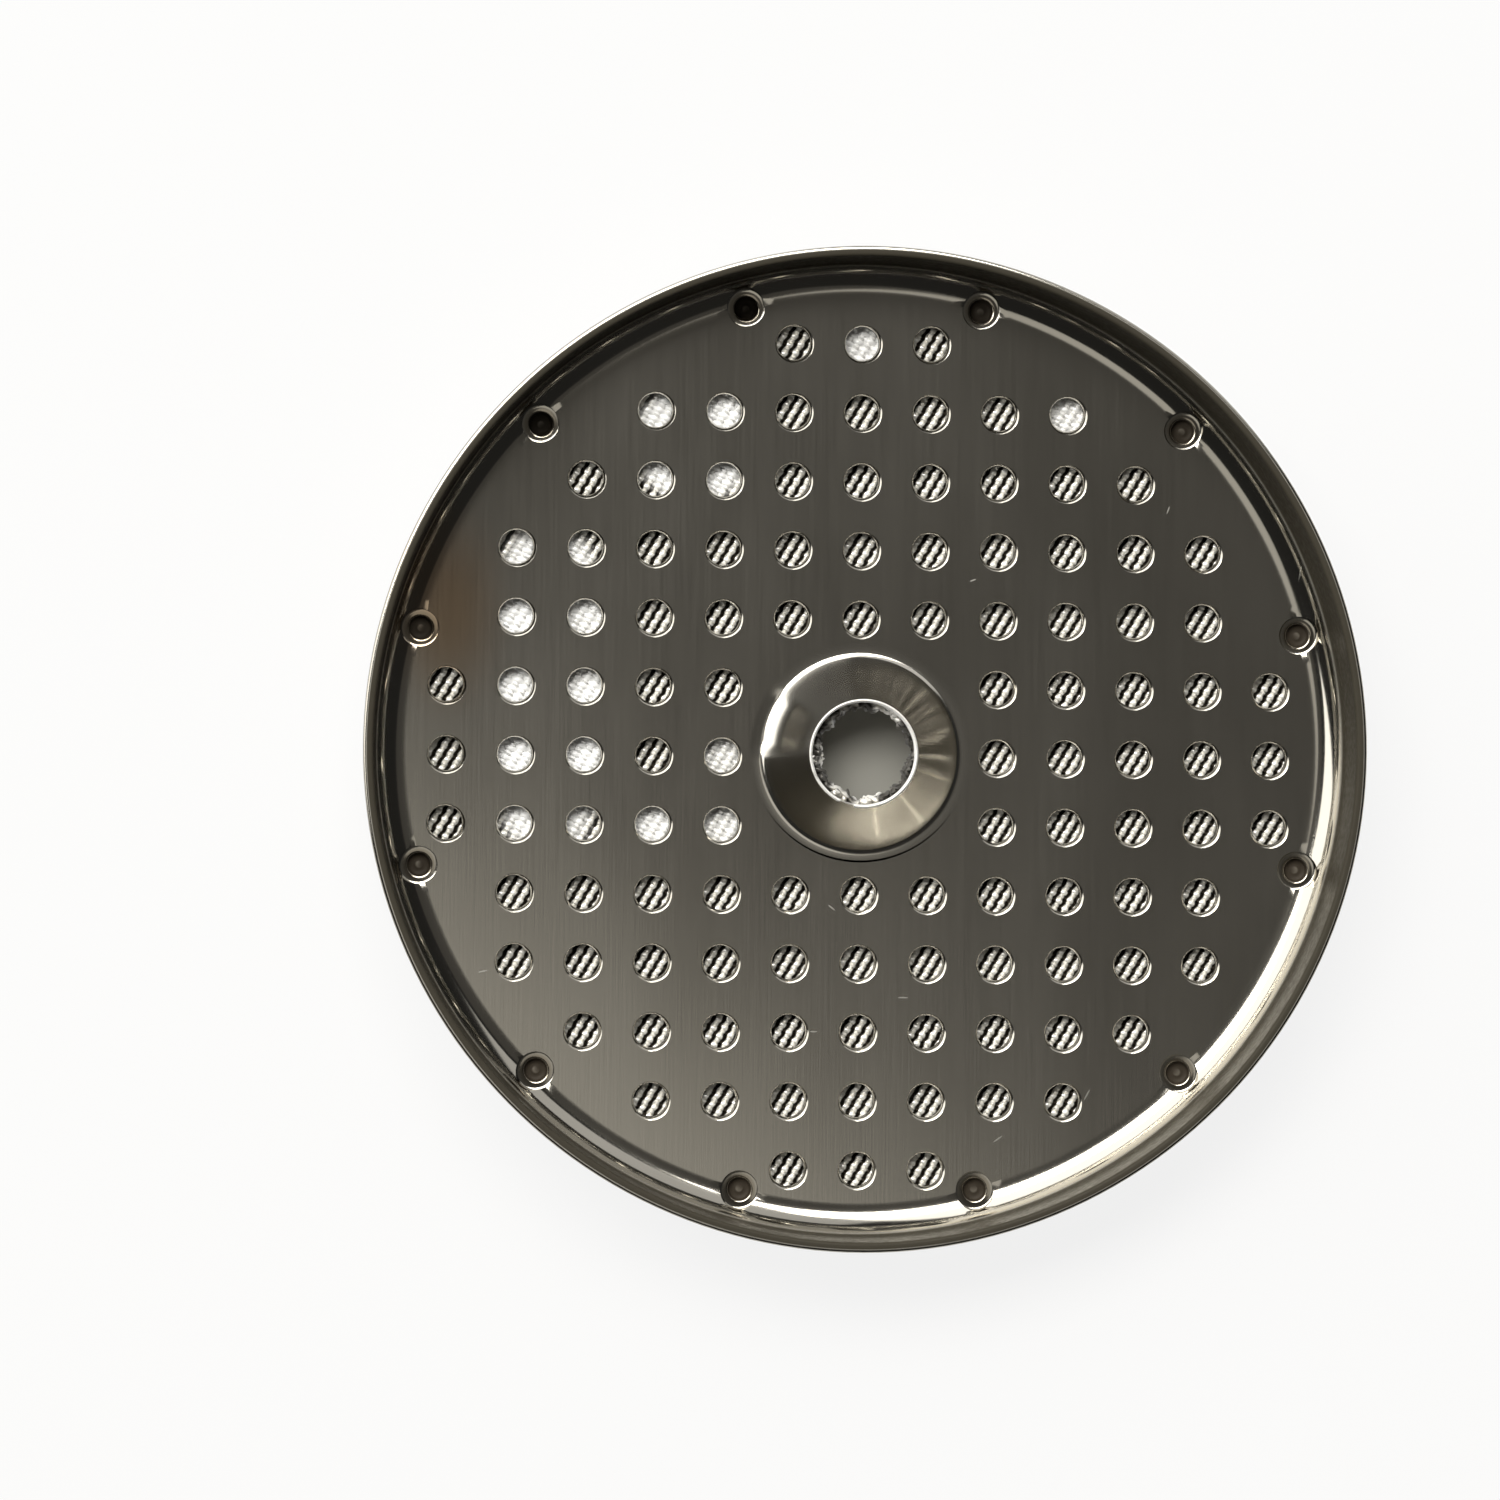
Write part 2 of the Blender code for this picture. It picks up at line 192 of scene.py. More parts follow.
# Short scratches on the floor: x, y, half of the length in millimetres, and the turn in degrees
SCRATCHES = (
    (2.6, -14.4, 0.42, 0), (-2.6, -16.4, 0.3, 0), (-1.6, -9.2, 0.34, -38),
    (13.4, -20.0, 0.5, 62), (-3.5, -16.2, 0.25, -50), (25.6, 10.5, 0.7, 84),
    (-21.8, -13.0, 0.4, 12), (17.9, 14.1, 0.35, 70), (8.2, -22.6, 0.45, 35), (6.5, 9.9, 0.3, 20),
)
SCRATCH_HALF_WIDTH = 0.055
# Painted glare, where the wires are painted white: x, y, half of the width and of the height in
# millimetres, and how white
PAINTED_GLARE_PATCHES = (
    (-18.2, 3.4, 4.1, 11.4, 1.0), (-9.8, 17.8, 3.9, 3.9, 0.9), (0.35, 23.6, 1.7, 1.7, 0.8),
    (-9.8, -4.5, 3.9, 1.9, 0.85), (-8.1, -0.5, 1.5, 1.5, 0.6), (12.2, 19.5, 1.3, 1.3, 0.7),
)

# The studio
STAGE_SIZE = 40.0
STAGE_GLOW = 0.85
CLEAR_OF_PART = (8 * MM, 26 * MM)  # the floor is painted dim and grey inside, a painted shadow, white outside
SHADED_FLOOR, OPEN_FLOOR = (0.25, 0.245, 0.22), (0.6, 0.595, 0.57)
SKY = (0.022, 0.022, 0.021)
DAYLIGHT = (1.0, 0.985, 0.95)
# Soft lamps: name, azimuth from +X towards +Y and elevation in degrees, distance, width and height
# in metres, power in watts, and colour
LAMPS = (
    ("window", 136, 33, 1.0, 1.74, 0.9, 10.5, DAYLIGHT),
    ("window_head", 112, 57, 1.0, 0.95, 0.42, 12.5, DAYLIGHT),
    ("room", 62, 32, 1.1, 0.9, 0.8, 1.4, (1.0, 0.99, 0.97)),
    ("ceiling", 60, 87, 1.3, 1.3, 1.3, 0.25, (1.0, 0.94, 0.84)),
    ("low_fill", 236, 76, 1.2, 0.5, 0.5, 0.42, (1.0, 0.97, 0.9)),
)
CAMERA_TARGET = Vector((-6.42 * MM, -0.08 * MM, FLOOR_TOP))
CAMERA_PLACE = Vector((-24.5 * MM, -1.0 * MM, FLOOR_TOP + 300 * MM))
CAMERA_ROLL = math.radians(0.45)
CAMERA_LENS, CAMERA_SENSOR = 124.3, 36.0
CAMERA_RANGE = (0.01, 50.0)


def put_down_everything():
    """Leaves edit mode and deselects all, because the loaded CAD nodes start out selected."""
    if bpy.context.mode != "OBJECT":
        bpy.ops.object.mode_set(mode="OBJECT")
    bpy.ops.object.select_all(action="DESELECT")


def pick_up(*pieces):
    put_down_everything()
    for piece in pieces:
        piece.select_set(True)
    bpy.context.view_layer.objects.active = pieces[0]
    return pieces[0]


def throw_away(piece):
    pick_up(piece)
    bpy.ops.object.delete()


def joined(pieces, name):
    first = pick_up(*pieces)
    bpy.ops.object.join()
    first.name = name
    return first


def another(pattern):
    """A copy of the pattern, with its own mesh, picked up."""
    pick_up(pattern)
    bpy.ops.object.duplicate(linked=False)
    return bpy.context.object


def set_in_place(piece):
    pick_up(piece)
    bpy.ops.object.transform_apply(location=True, rotation=True, scale=True)
    return piece


def modify(piece, name, kind, **settings):
    """Adds a modifier to the piece and applies it."""
    pick_up(piece)
    modifier = piece.modifiers.new(name, kind)
    for key, value in settings.items():
        setattr(modifier, key, value)
    bpy.ops.object.modifier_apply(modifier=modifier.name)


def boolean(piece, cutter, operation):
    modify(
        piece, operation.title(), "BOOLEAN", operation=operation, solver="MANIFOLD", object=cutter
    )
    throw_away(cutter)


def outline(height, rows):
    """Points in metres, from rows of radius and rise above this height in millimetres."""
    return [(radius * MM, height + rise * MM) for radius, rise in rows]


def arc(centre, radius, start, end, steps):
    turn = (end - start) / steps
    return [
        centre + radius * Vector((math.cos(start + turn * i), math.sin(start + turn * i)))
        for i in range(steps + 1)
    ]


def spun(name, profile, steps):
    """A line of (r, z) points drawn by extruding one vertex, then spun once round Z."""
    put_down_everything()
    bpy.ops.mesh.primitive_plane_add(size=MM)
    piece = bpy.context.object
    piece.name = name
    bpy.ops.object.mode_set(mode="EDIT")
    bpy.ops.mesh.merge(type="CENTER")
    start = profile[0]
    bpy.ops.transform.translate(value=(start[0], 0.0, start[1]))
    for here, there in zip(profile, profile[1:]):
        move = (there[0] - here[0], 0.0, there[1] - here[1])
        bpy.ops.mesh.extrude_region_move(TRANSFORM_OT_translate={"value": move})
    bpy.ops.mesh.select_all(action="SELECT")
    bpy.ops.mesh.spin(
        steps=steps, angle=math.tau, center=(0.0, 0.0, 0.0), axis=(0.0, 0.0, 1.0)
    )
    bpy.ops.mesh.select_all(action="SELECT")
    bpy.ops.mesh.remove_doubles(threshold=NEAR)
    bpy.ops.mesh.normals_make_consistent(inside=False)
    bpy.ops.object.mode_set(mode="OBJECT")
    return piece


def punch(pattern, places):
    """One tool that presses or cuts the pattern's round shape at each place."""
    name = pattern.name
    copies = []
    for x, y in places:
        copies.append(another(pattern))
        bpy.ops.transform.translate(value=(x, y, 0.0))
    throw_away(pattern)
    return joined(copies, name)


def hole_places():
    reach = int(HOLE_FIELD_RADIUS / HOLE_PITCH)
    places = []
    for row in range(-reach, reach + 1):
        for column in range(-reach, reach + 1):
            x, y = column * HOLE_PITCH, row * HOLE_PITCH
            if CONE_CLEAR_RADIUS <= math.hypot(x, y) <= HOLE_FIELD_RADIUS:
                places.append((x, y + HOLE_GRID_OFFSET))
    return places


def weld_places():
    step = math.tau / WELD_COUNT
    angles = [step * i + step / 2 for i in range(WELD_COUNT)]
    return [(FLAT_RADIUS * math.cos(angle), FLAT_RADIUS * math.sin(angle)) for angle in angles]


def worn(pattern):
    """Slides the cutting end of the hole punch sideways, and its shoulder less so."""
    for vert in pattern.data.vertices:
        radius = vert.co.xy.length
        if radius > NEAR:
            share = min(1.0, max(0.0, (HOLE_RADIUS - radius) / (HOLE_RADIUS - HOLE_THROAT)))
            vert.co.x += share * HOLE_THROAT_SHIFT.x
            vert.co.y += share * HOLE_THROAT_SHIFT.y
    return pattern


def hole_punch():
    """A punch whose shoulder rolls the upper edge of each hole over."""
    across = HOLE_RADIUS - HOLE_THROAT
    shoulder = []
    for degrees in HOLE_ROLL_DEGREES:
        turn = math.radians(degrees)
        shoulder.append((
            HOLE_RADIUS - across * math.sin(turn),
            FLOOR_TOP - HOLE_ROLL_DEPTH * (1 - math.cos(turn)),
        ))
    slope = Vector(shoulder[0]) - Vector(shoulder[1])
    head = Vector(shoulder[0]) + slope * PUNCH_HEAD
    end = FLOOR_UNDERSIDE - PUNCH_OVERRUN
    profile = [(0.0, head.y), tuple(head)] + shoulder
    profile.append((HOLE_THROAT, FLOOR_UNDERSIDE + HOLE_FLARE_HEIGHT))
    profile += [(HOLE_THROAT + HOLE_FLARE, end), (0.0, end)]
    return punch(worn(spun("hole_punch", profile, HOLE_SIDES)), hole_places())


def weld_electrode():
    """A shallow dish with a deeper pit in its middle, as each spot weld leaves."""
    profile = outline(FLOOR_TOP, WELD_ELECTRODE)
    return punch(spun("weld_electrode", profile, WELD_SIDES), weld_places())


def weld_nuggets():
    """The melted metal from the sheet down through the mesh, with a foot at the resting face."""
    profile = outline(FLOOR_UNDERSIDE, NUGGET_HEAD) + outline(0.0, NUGGET_FOOT)
    return punch(spun("weld_nuggets", profile, NUGGET_SIDES), weld_places())


def bore_reamer():
    """The tool that opens the cone for the screw and leaves a narrow lip round the mouth."""
    mouth = [(BORE_RADIUS + BORE_LIP * share, CONE_TOP + rise * MM) for share, rise in BORE_MOUTH]
    profile = [(0.0, mouth[0][1])] + mouth + [(BORE_RADIUS, BORE_FOOT), (0.0, BORE_FOOT)]
    pick_up(spun("bore_reamer", profile, TURN_STEPS))
    bpy.ops.transform.translate(value=(0.0, CONE_OFFSET, 0.0))
    return set_in_place(bpy.context.object)


def pan_profile():
    """The pan's inner face from the crest, down the wall, over the floor and up the cone."""
    points = [Vector((RIM_INNER_RADIUS, CREST_TOP - drop * MM)) for drop in WALL_RINGS]
    bend = Vector((FLAT_RADIUS, FLOOR_TOP + RIM_BEND_RADIUS))
    down = -math.pi / 2
    points += arc(bend, RIM_BEND_RADIUS, 0.0, down, RIM_BEND_STEPS)
    for radius in (FLAT_RADIUS - GUARD_RING, CONE_REACH + GUARD_RING, CONE_REACH):
        points.append(Vector((radius, FLOOR_TOP)))
    foot_end = down - CONE_SLOPE + CONE_HOLLOW
    points += arc(CONE_BEND_CENTRE, CONE_BEND_RADIUS, down, foot_end, CONE_BEND_STEPS)
    inner = SCREW_BORE_RADIUS - CONE_SPARE
    stride = (points[-1].x - inner) / CONE_STEPS
    for i in range(CONE_STEPS):
        slope = CONE_TOP_SLOPE - CONE_HOLLOW * (1 - (i + 0.5) / CONE_STEPS) ** 3
        points.append(points[-1] + stride * Vector((-1.0, math.tan(slope))))
    return points


def dent(out):
    """How far the cone is pressed down at this place, measured from the cone's middle."""
    turned = math.atan2(out.y, out.x) - DENT_AZIMUTH
    aside = abs((turned + math.pi) % math.tau - math.pi)
    if aside > DENT_HALF_WIDTH:
        return 0.0
    if out.length > DENT_DEEPEST:
        share = (DENT_FOOT - out.length) / (DENT_FOOT - DENT_DEEPEST)
    else:
        share = (out.length - DENT_TOP) / (DENT_DEEPEST - DENT_TOP)
    edge = min(1.0, DENT_SIDES * (1 - aside / DENT_HALF_WIDTH))
    return DENT_DEPTH * max(0.0, share) * edge * edge * (3 - 2 * edge)


def turn_floor_up(pan):
    """Flips the pan's surface if its floor faces down, so that the sheet grows downwards."""
    floor = min(pan.data.polygons, key=lambda face: abs(face.center.xy.length - MID_FLOOR))
    if floor.normal.z < 0:
        pick_up(pan)
        bpy.ops.object.mode_set(mode="EDIT")
        bpy.ops.mesh.select_all(action="SELECT")
        bpy.ops.mesh.flip_normals()
        bpy.ops.object.mode_set(mode="OBJECT")


def shift_and_dent_cone(pan):
    pick_up(pan)
    bpy.ops.object.mode_set(mode="EDIT")
    mesh = bmesh.from_edit_mesh(pan.data)
    bpy.ops.mesh.select_all(action="DESELECT")
    for vert in mesh.verts:
        vert.select = vert.co.xy.length < CONE_REACH + CONE_TOLERANCE
        if vert.select:
            vert.co.z -= dent(vert.co.xy)
    mesh.select_flush(True)
    bmesh.update_edit_mesh(pan.data)
    bpy.ops.transform.translate(value=(0.0, CONE_OFFSET, 0.0))
    bpy.ops.object.mode_set(mode="OBJECT")


def lies_flat(face):
    height = face.calc_center_median().z
    off_level = min(abs(height - FLOOR_TOP), abs(height - FLOOR_UNDERSIDE))
    return abs(face.normal.z) > LEVEL_NORMAL and off_level < LEVEL_TOLERANCE


def on_a_bend(edge):
    """True where the flat floor runs smoothly into the bend of the rim or of the cone."""
    radii = [vert.co.xy.length for vert in edge.verts]
    shifted = [math.hypot(vert.co.x, vert.co.y - CONE_OFFSET) for vert in edge.verts]
    at_rim = all(abs(radius - FLAT_RADIUS) < BEND_TOLERANCE for radius in radii)
    at_cone = all(radius < CONE_REACH + BEND_TOLERANCE for radius in shifted)
    return at_rim or at_cone


def shade_pan(pan):
    """Smooth bends, and a flat floor with a sharp edge at each hole and weld."""
    pick_up(pan)
    bpy.ops.object.shade_smooth_by_angle(angle=PAN_SHADING_ANGLE)
    bpy.ops.object.mode_set(mode="EDIT")
    bpy.ops.mesh.select_all(action="DESELECT")
    mesh = bmesh.from_edit_mesh(pan.data)
    for edge in mesh.edges:
        flat = [lies_flat(face) for face in edge.link_faces]
        edge.select = any(flat) and not all(flat) and not on_a_bend(edge)
    bmesh.update_edit_mesh(pan.data)
    bpy.ops.mesh.mark_sharp()
    bpy.ops.object.mode_set(mode="OBJECT")
    modify(
        pan, "Even normals", "WEIGHTED_NORMAL", mode="FACE_AREA", weight=80, keep_sharp=True
    )


def pressed_pan():
    pan = spun("pressed_pan", pan_profile(), TURN_STEPS)
    turn_floor_up(pan)
    modify(pan, "Sheet", "SOLIDIFY", thickness=SHEET, offset=-1.0, use_even_offset=True)
    modify(
        pan, "Crest", "BEVEL", width=CREST_ROUNDING, segments=CREST_STEPS,
        limit_method="ANGLE", angle_limit=CREST_EDGE_ANGLE,
    )
    shift_and_dent_cone(pan)
    boolean(pan, weld_nuggets(), "UNION")
    boolean(pan, bore_reamer(), "DIFFERENCE")
    boolean(pan, hole_punch(), "DIFFERENCE")
    boolean(pan, weld_electrode(), "DIFFERENCE")
    shade_pan(pan)
    return pan


def straight_wire(name, radius, length, cuts):
    """A wire along X, cut into even steps by each number of cuts in turn."""
    put_down_everything()
    bpy.ops.mesh.primitive_cylinder_add(
        vertices=WIRE_SIDES, radius=radius, depth=length, rotation=(0.0, math.pi / 2, 0.0)
    )
    piece = set_in_place(bpy.context.object)
    piece.name = name
    bpy.ops.object.mode_set(mode="EDIT")
    for number in cuts:
        bpy.ops.mesh.select_all(action="DESELECT")
        mesh = bmesh.from_edit_mesh(piece.data)
        for edge in mesh.edges:
            edge.select = abs(edge.verts[0].co.x - edge.verts[1].co.x) > NEAR
        bmesh.update_edit_mesh(piece.data)
        bpy.ops.mesh.subdivide(number_cuts=number)
    bpy.ops.object.mode_set(mode="OBJECT")
    return piece


def turned_to(piece, angle, along, across):
    """Moves a wire along and sideways by this much, then swings it from X to its angle."""
    turn = Matrix.Rotation(angle, 3, "Z")
    start = turn @ Vector((along, across, 0.0))
    pick_up(piece)
    bpy.ops.object.mode_set(mode="EDIT")
    mesh = bmesh.from_edit_mesh(piece.data)
    for vert in mesh.verts:
        vert.co = turn @ vert.co + start
    bmesh.update_edit_mesh(piece.data)
    bpy.ops.object.mode_set(mode="OBJECT")
    return piece


def waved_wires(name, radius, lift, half_wave, rings, angle, across, along):
    """A layer of waved wires side by side, each the other way up than the wires next to it."""
    half_waves = 2 * (int(MESH_RADIUS / half_wave) + SPARE_HALF_WAVES)
    patterns = []
    for side in (1, -1):
        cuts = (half_waves // 2 - 1, 2 * rings - 1)  # in two goes, since one makes 100 at most
        pattern = straight_wire(name, radius, half_waves * half_wave, cuts)
        for vert in pattern.data.vertices:
            swing = math.cos(math.pi * vert.co.x / half_wave)
            vert.co.z += MESH_MIDDLE + side * lift * swing
        patterns.append(pattern)
    count = int(MESH_RADIUS / across)
    wires = []
    for i in range(-count, count + 1):
        wires.append(turned_to(another(patterns[i % 2]), angle, i * along, i * across))
    for pattern in patterns:
        throw_away(pattern)
    return wires


def woven_wires():
    """The two layers of the weave, cut up into pieces that are easy to handle."""
    lean = WEFT_ANGLE - WARP_ANGLE - math.pi / 2
    warp = waved_wires(
        "warp_wire", WARP_RADIUS, -WARP_LIFT, WEFT_STEP, WARP_RINGS,
        WARP_ANGLE, WARP_SPACING, -WARP_SPACING * math.tan(lean),
    )
    weft = waved_wires(
        "weft_wire", WEFT_RADIUS, WEFT_LIFT, WARP_SPACING / math.cos(lean), WEFT_RINGS,
        WEFT_ANGLE, WEFT_STEP * math.cos(lean), WEFT_STEP * math.sin(lean),
    )
    half = len(warp) // 2
    upper, lower = (int(len(weft) * share) for share in WEFT_CUTS)
    return [
        joined(warp[:half], "warp_wires_right"),
        joined(warp[half:], "warp_wires_left"),
        joined(weft[:upper], "weft_wires_upper"),
        joined(weft[upper:lower], "weft_wires_middle"),
        joined(weft[lower:], "weft_wires_lower"),
    ]


def ragged_hole():
    """The cutter for the screw's hole in the mesh, whose edge is torn rather than round."""
    put_down_everything()
    bpy.ops.mesh.primitive_cylinder_add(
        vertices=TORN_CORNERS, radius=TORN_RADIUS, depth=CUTTER_HEIGHT,
        location=(0.0, CONE_OFFSET, 0.0),
    )
    cutter = set_in_place(bpy.context.object)
    for vert in cutter.data.vertices:
        out = Vector((vert.co.x, vert.co.y - CONE_OFFSET))
        angle = math.atan2(out.y, out.x)
        tear = 1.0
        for depth, count, start in TORN_WAVES:
            tear += depth * math.sin(count * angle + start)
        vert.co.x = out.x * tear + TORN_SHIFT[0]
        vert.co.y = out.y * tear + TORN_SHIFT[1] + CONE_OFFSET
    return cutter


def disc():
    """The cutter for the mesh's round edge."""
    put_down_everything()
    bpy.ops.mesh.primitive_cylinder_add(
        vertices=TURN_STEPS, radius=MESH_RADIUS, depth=CUTTER_HEIGHT
    )
    return bpy.context.object


def drawn_up_cone(piece):
    """Presses the flat weave up inside the pan's cone, square to the surface.

    So it keeps its thickness, and its bend has the same centre as the pan's.
    """
    bend = FLOOR_TOP + CONE_BEND_RADIUS - MESH_MIDDLE
    foot_radius = CONE_BEND_CENTRE.x - bend * math.sin(CONE_SLOPE)
    foot_height = CONE_BEND_CENTRE.y - bend * math.cos(CONE_SLOPE)
    for vert in piece.data.vertices:
        out = Vector((vert.co.x, vert.co.y - CONE_OFFSET))
        radius = out.length
        if radius >= CONE_BEND_CENTRE.x:
            continue
        above = vert.co.z - MESH_MIDDLE
        if radius > foot_radius:
            tilt = math.asin((CONE_BEND_CENTRE.x - radius) / bend)
            height = CONE_BEND_CENTRE.y - bend * math.cos(tilt)
        else:
            tilt = CONE_SLOPE
            height = foot_height + (foot_radius - radius) * math.tan(CONE_SLOPE)
        moved = out * ((radius + above * math.sin(tilt)) / radius)
        height -= dent(moved * (1 + SHEET / moved.length))
        vert.co = (moved.x, moved.y + CONE_OFFSET, height + above * math.cos(tilt))


def woven_mesh():
    """The wires, each vertex marked with its distance from the middle of the flat weave."""
    pieces = woven_wires()
    for piece in pieces:
        boolean(piece, disc(), "INTERSECT")
        boolean(piece, ragged_hole(), "DIFFERENCE")
        depth = piece.data.attributes.new("height_in_weave", "FLOAT", "POINT")
        for vert, value in zip(piece.data.vertices, depth.data):
            value.value = abs(vert.co.z - MESH_MIDDLE) / MM
        drawn_up_cone(piece)
        piece.data.update()
        pick_up(piece)
        bpy.ops.object.shade_smooth_by_angle(angle=WIRE_SHADING_ANGLE)
    return pieces


class Nodes:
    """Short ways to add nodes to one material. Places are the piece's own, in metres."""

    def __init__(self, name):
        self.material = bpy.data.materials.new(name)
        self.material.use_nodes = True
        self.tree = self.material.node_tree
        self.shader = self.tree.nodes["Principled BSDF"]
        self.place = self.add("ShaderNodeTexCoord").outputs["Object"]

    def feed(self, socket, value):
        """Links another node's output to the socket, or sets it to a number or a colour."""
        if isinstance(value, bpy.types.NodeSocket):
            self.tree.links.new(value, socket)
        elif socket.type == "RGBA":
            socket.default_value = (*value, 1.0)
        else:
            socket.default_value = value

    def add(self, kind, feeds=None, **settings):
        node = self.tree.nodes.new(kind)
        for key, value in settings.items():
            setattr(node, key, value)
        for key, value in (feeds or {}).items():
            self.feed(node.inputs[key], value)
        return node

    def math(self, operation, *values):
        return self.add("ShaderNodeMath", dict(enumerate(values)), operation=operation).outputs[0]

    def product(self, first, *others):
        for other in others:
            first = self.math("MULTIPLY", first, other)
        return first

    def ramp(self, value, low, high, to_low=0.0, to_high=1.0):
        """Goes smoothly from to_low to to_high while the value goes from low to high."""
        feeds = {
            "Value": value, "From Min": low, "From Max": high, "To Min": to_low, "To Max": to_high,
        }
        node = self.add("ShaderNodeMapRange", feeds, interpolation_type="SMOOTHSTEP")
        return node.outputs["Result"]

    def mapped(self, vector_type, location=(0, 0, 0), rotation=(0, 0, 0), scale=(1, 1, 1)):
        feeds = {
            "Vector": self.place, "Location": location, "Rotation": rotation, "Scale": scale,
        }
        node = self.add("ShaderNodeMapping", feeds, vector_type=vector_type)
        return node.outputs["Vector"]

    def noise(self, vector, scale, detail, roughness):
        feeds = {"Vector": vector, "Scale": scale, "Detail": detail, "Roughness": roughness}
        return self.add("ShaderNodeTexNoise", feeds).outputs["Fac"]

    def parts(self, vector):
        return self.add("ShaderNodeSeparateXYZ", {0: vector}).outputs

    def length(self, vector):
        return self.add("ShaderNodeVectorMath", {0: vector}, operation="LENGTH").outputs["Value"]

    def from_axis(self, y=0.0):
        """Distance from the upright line through (0, y)."""
        return self.length(self.mapped("POINT", (0, -y, 0), scale=(1, 1, 0)))

    def ellipse(self, x, y, half_width, half_height, degrees=0.0):
        """Distance from (x, y) as a share of the way to an upright ellipse, in millimetres."""
        turn = (0, 0, math.radians(degrees))
        size = (half_width * MM, half_height * MM, 1.0)
        return self.length(self.mapped("TEXTURE", (x * MM, y * MM, 0.0), turn, size))

    def mixed(self, factor, first, second):
        feeds = {0: factor, 2: first, 3: second}
        return self.add("ShaderNodeMix", feeds, data_type="FLOAT").outputs[0]

    def blend(self, factor, first, second):
        feeds = {0: factor, 6: first, 7: second}
        return self.add("ShaderNodeMix", feeds, data_type="RGBA").outputs[2]

    def bump(self, height, strength, distance):
        feeds = {"Height": height, "Strength": strength, "Distance": distance}
        return self.add("ShaderNodeBump", feeds).outputs["Normal"]

    def finished(self, shader_feeds):
        for key, value in shader_feeds.items():
            self.feed(self.shader.inputs[key], value)
        return self.material


def from_weld(n, x, y, out):
    """Distance from the middle of the nearest weld, as seen from above."""
    step = math.tau / WELD_COUNT
    turn = n.math("FLOORED_MODULO", n.math("ARCTAN2", y, x), step)
    turn = n.math("SUBTRACT", turn, step / 2)
    aside = n.math("MULTIPLY", out, n.math("SINE", turn))
    inwards = n.math("SUBTRACT", n.math("MULTIPLY", out, n.math("COSINE", turn)), FLAT_RADIUS)
    squares = n.math("ADD", n.product(aside, aside), n.product(inwards, inwards))
    return n.math("SQRT", squares)


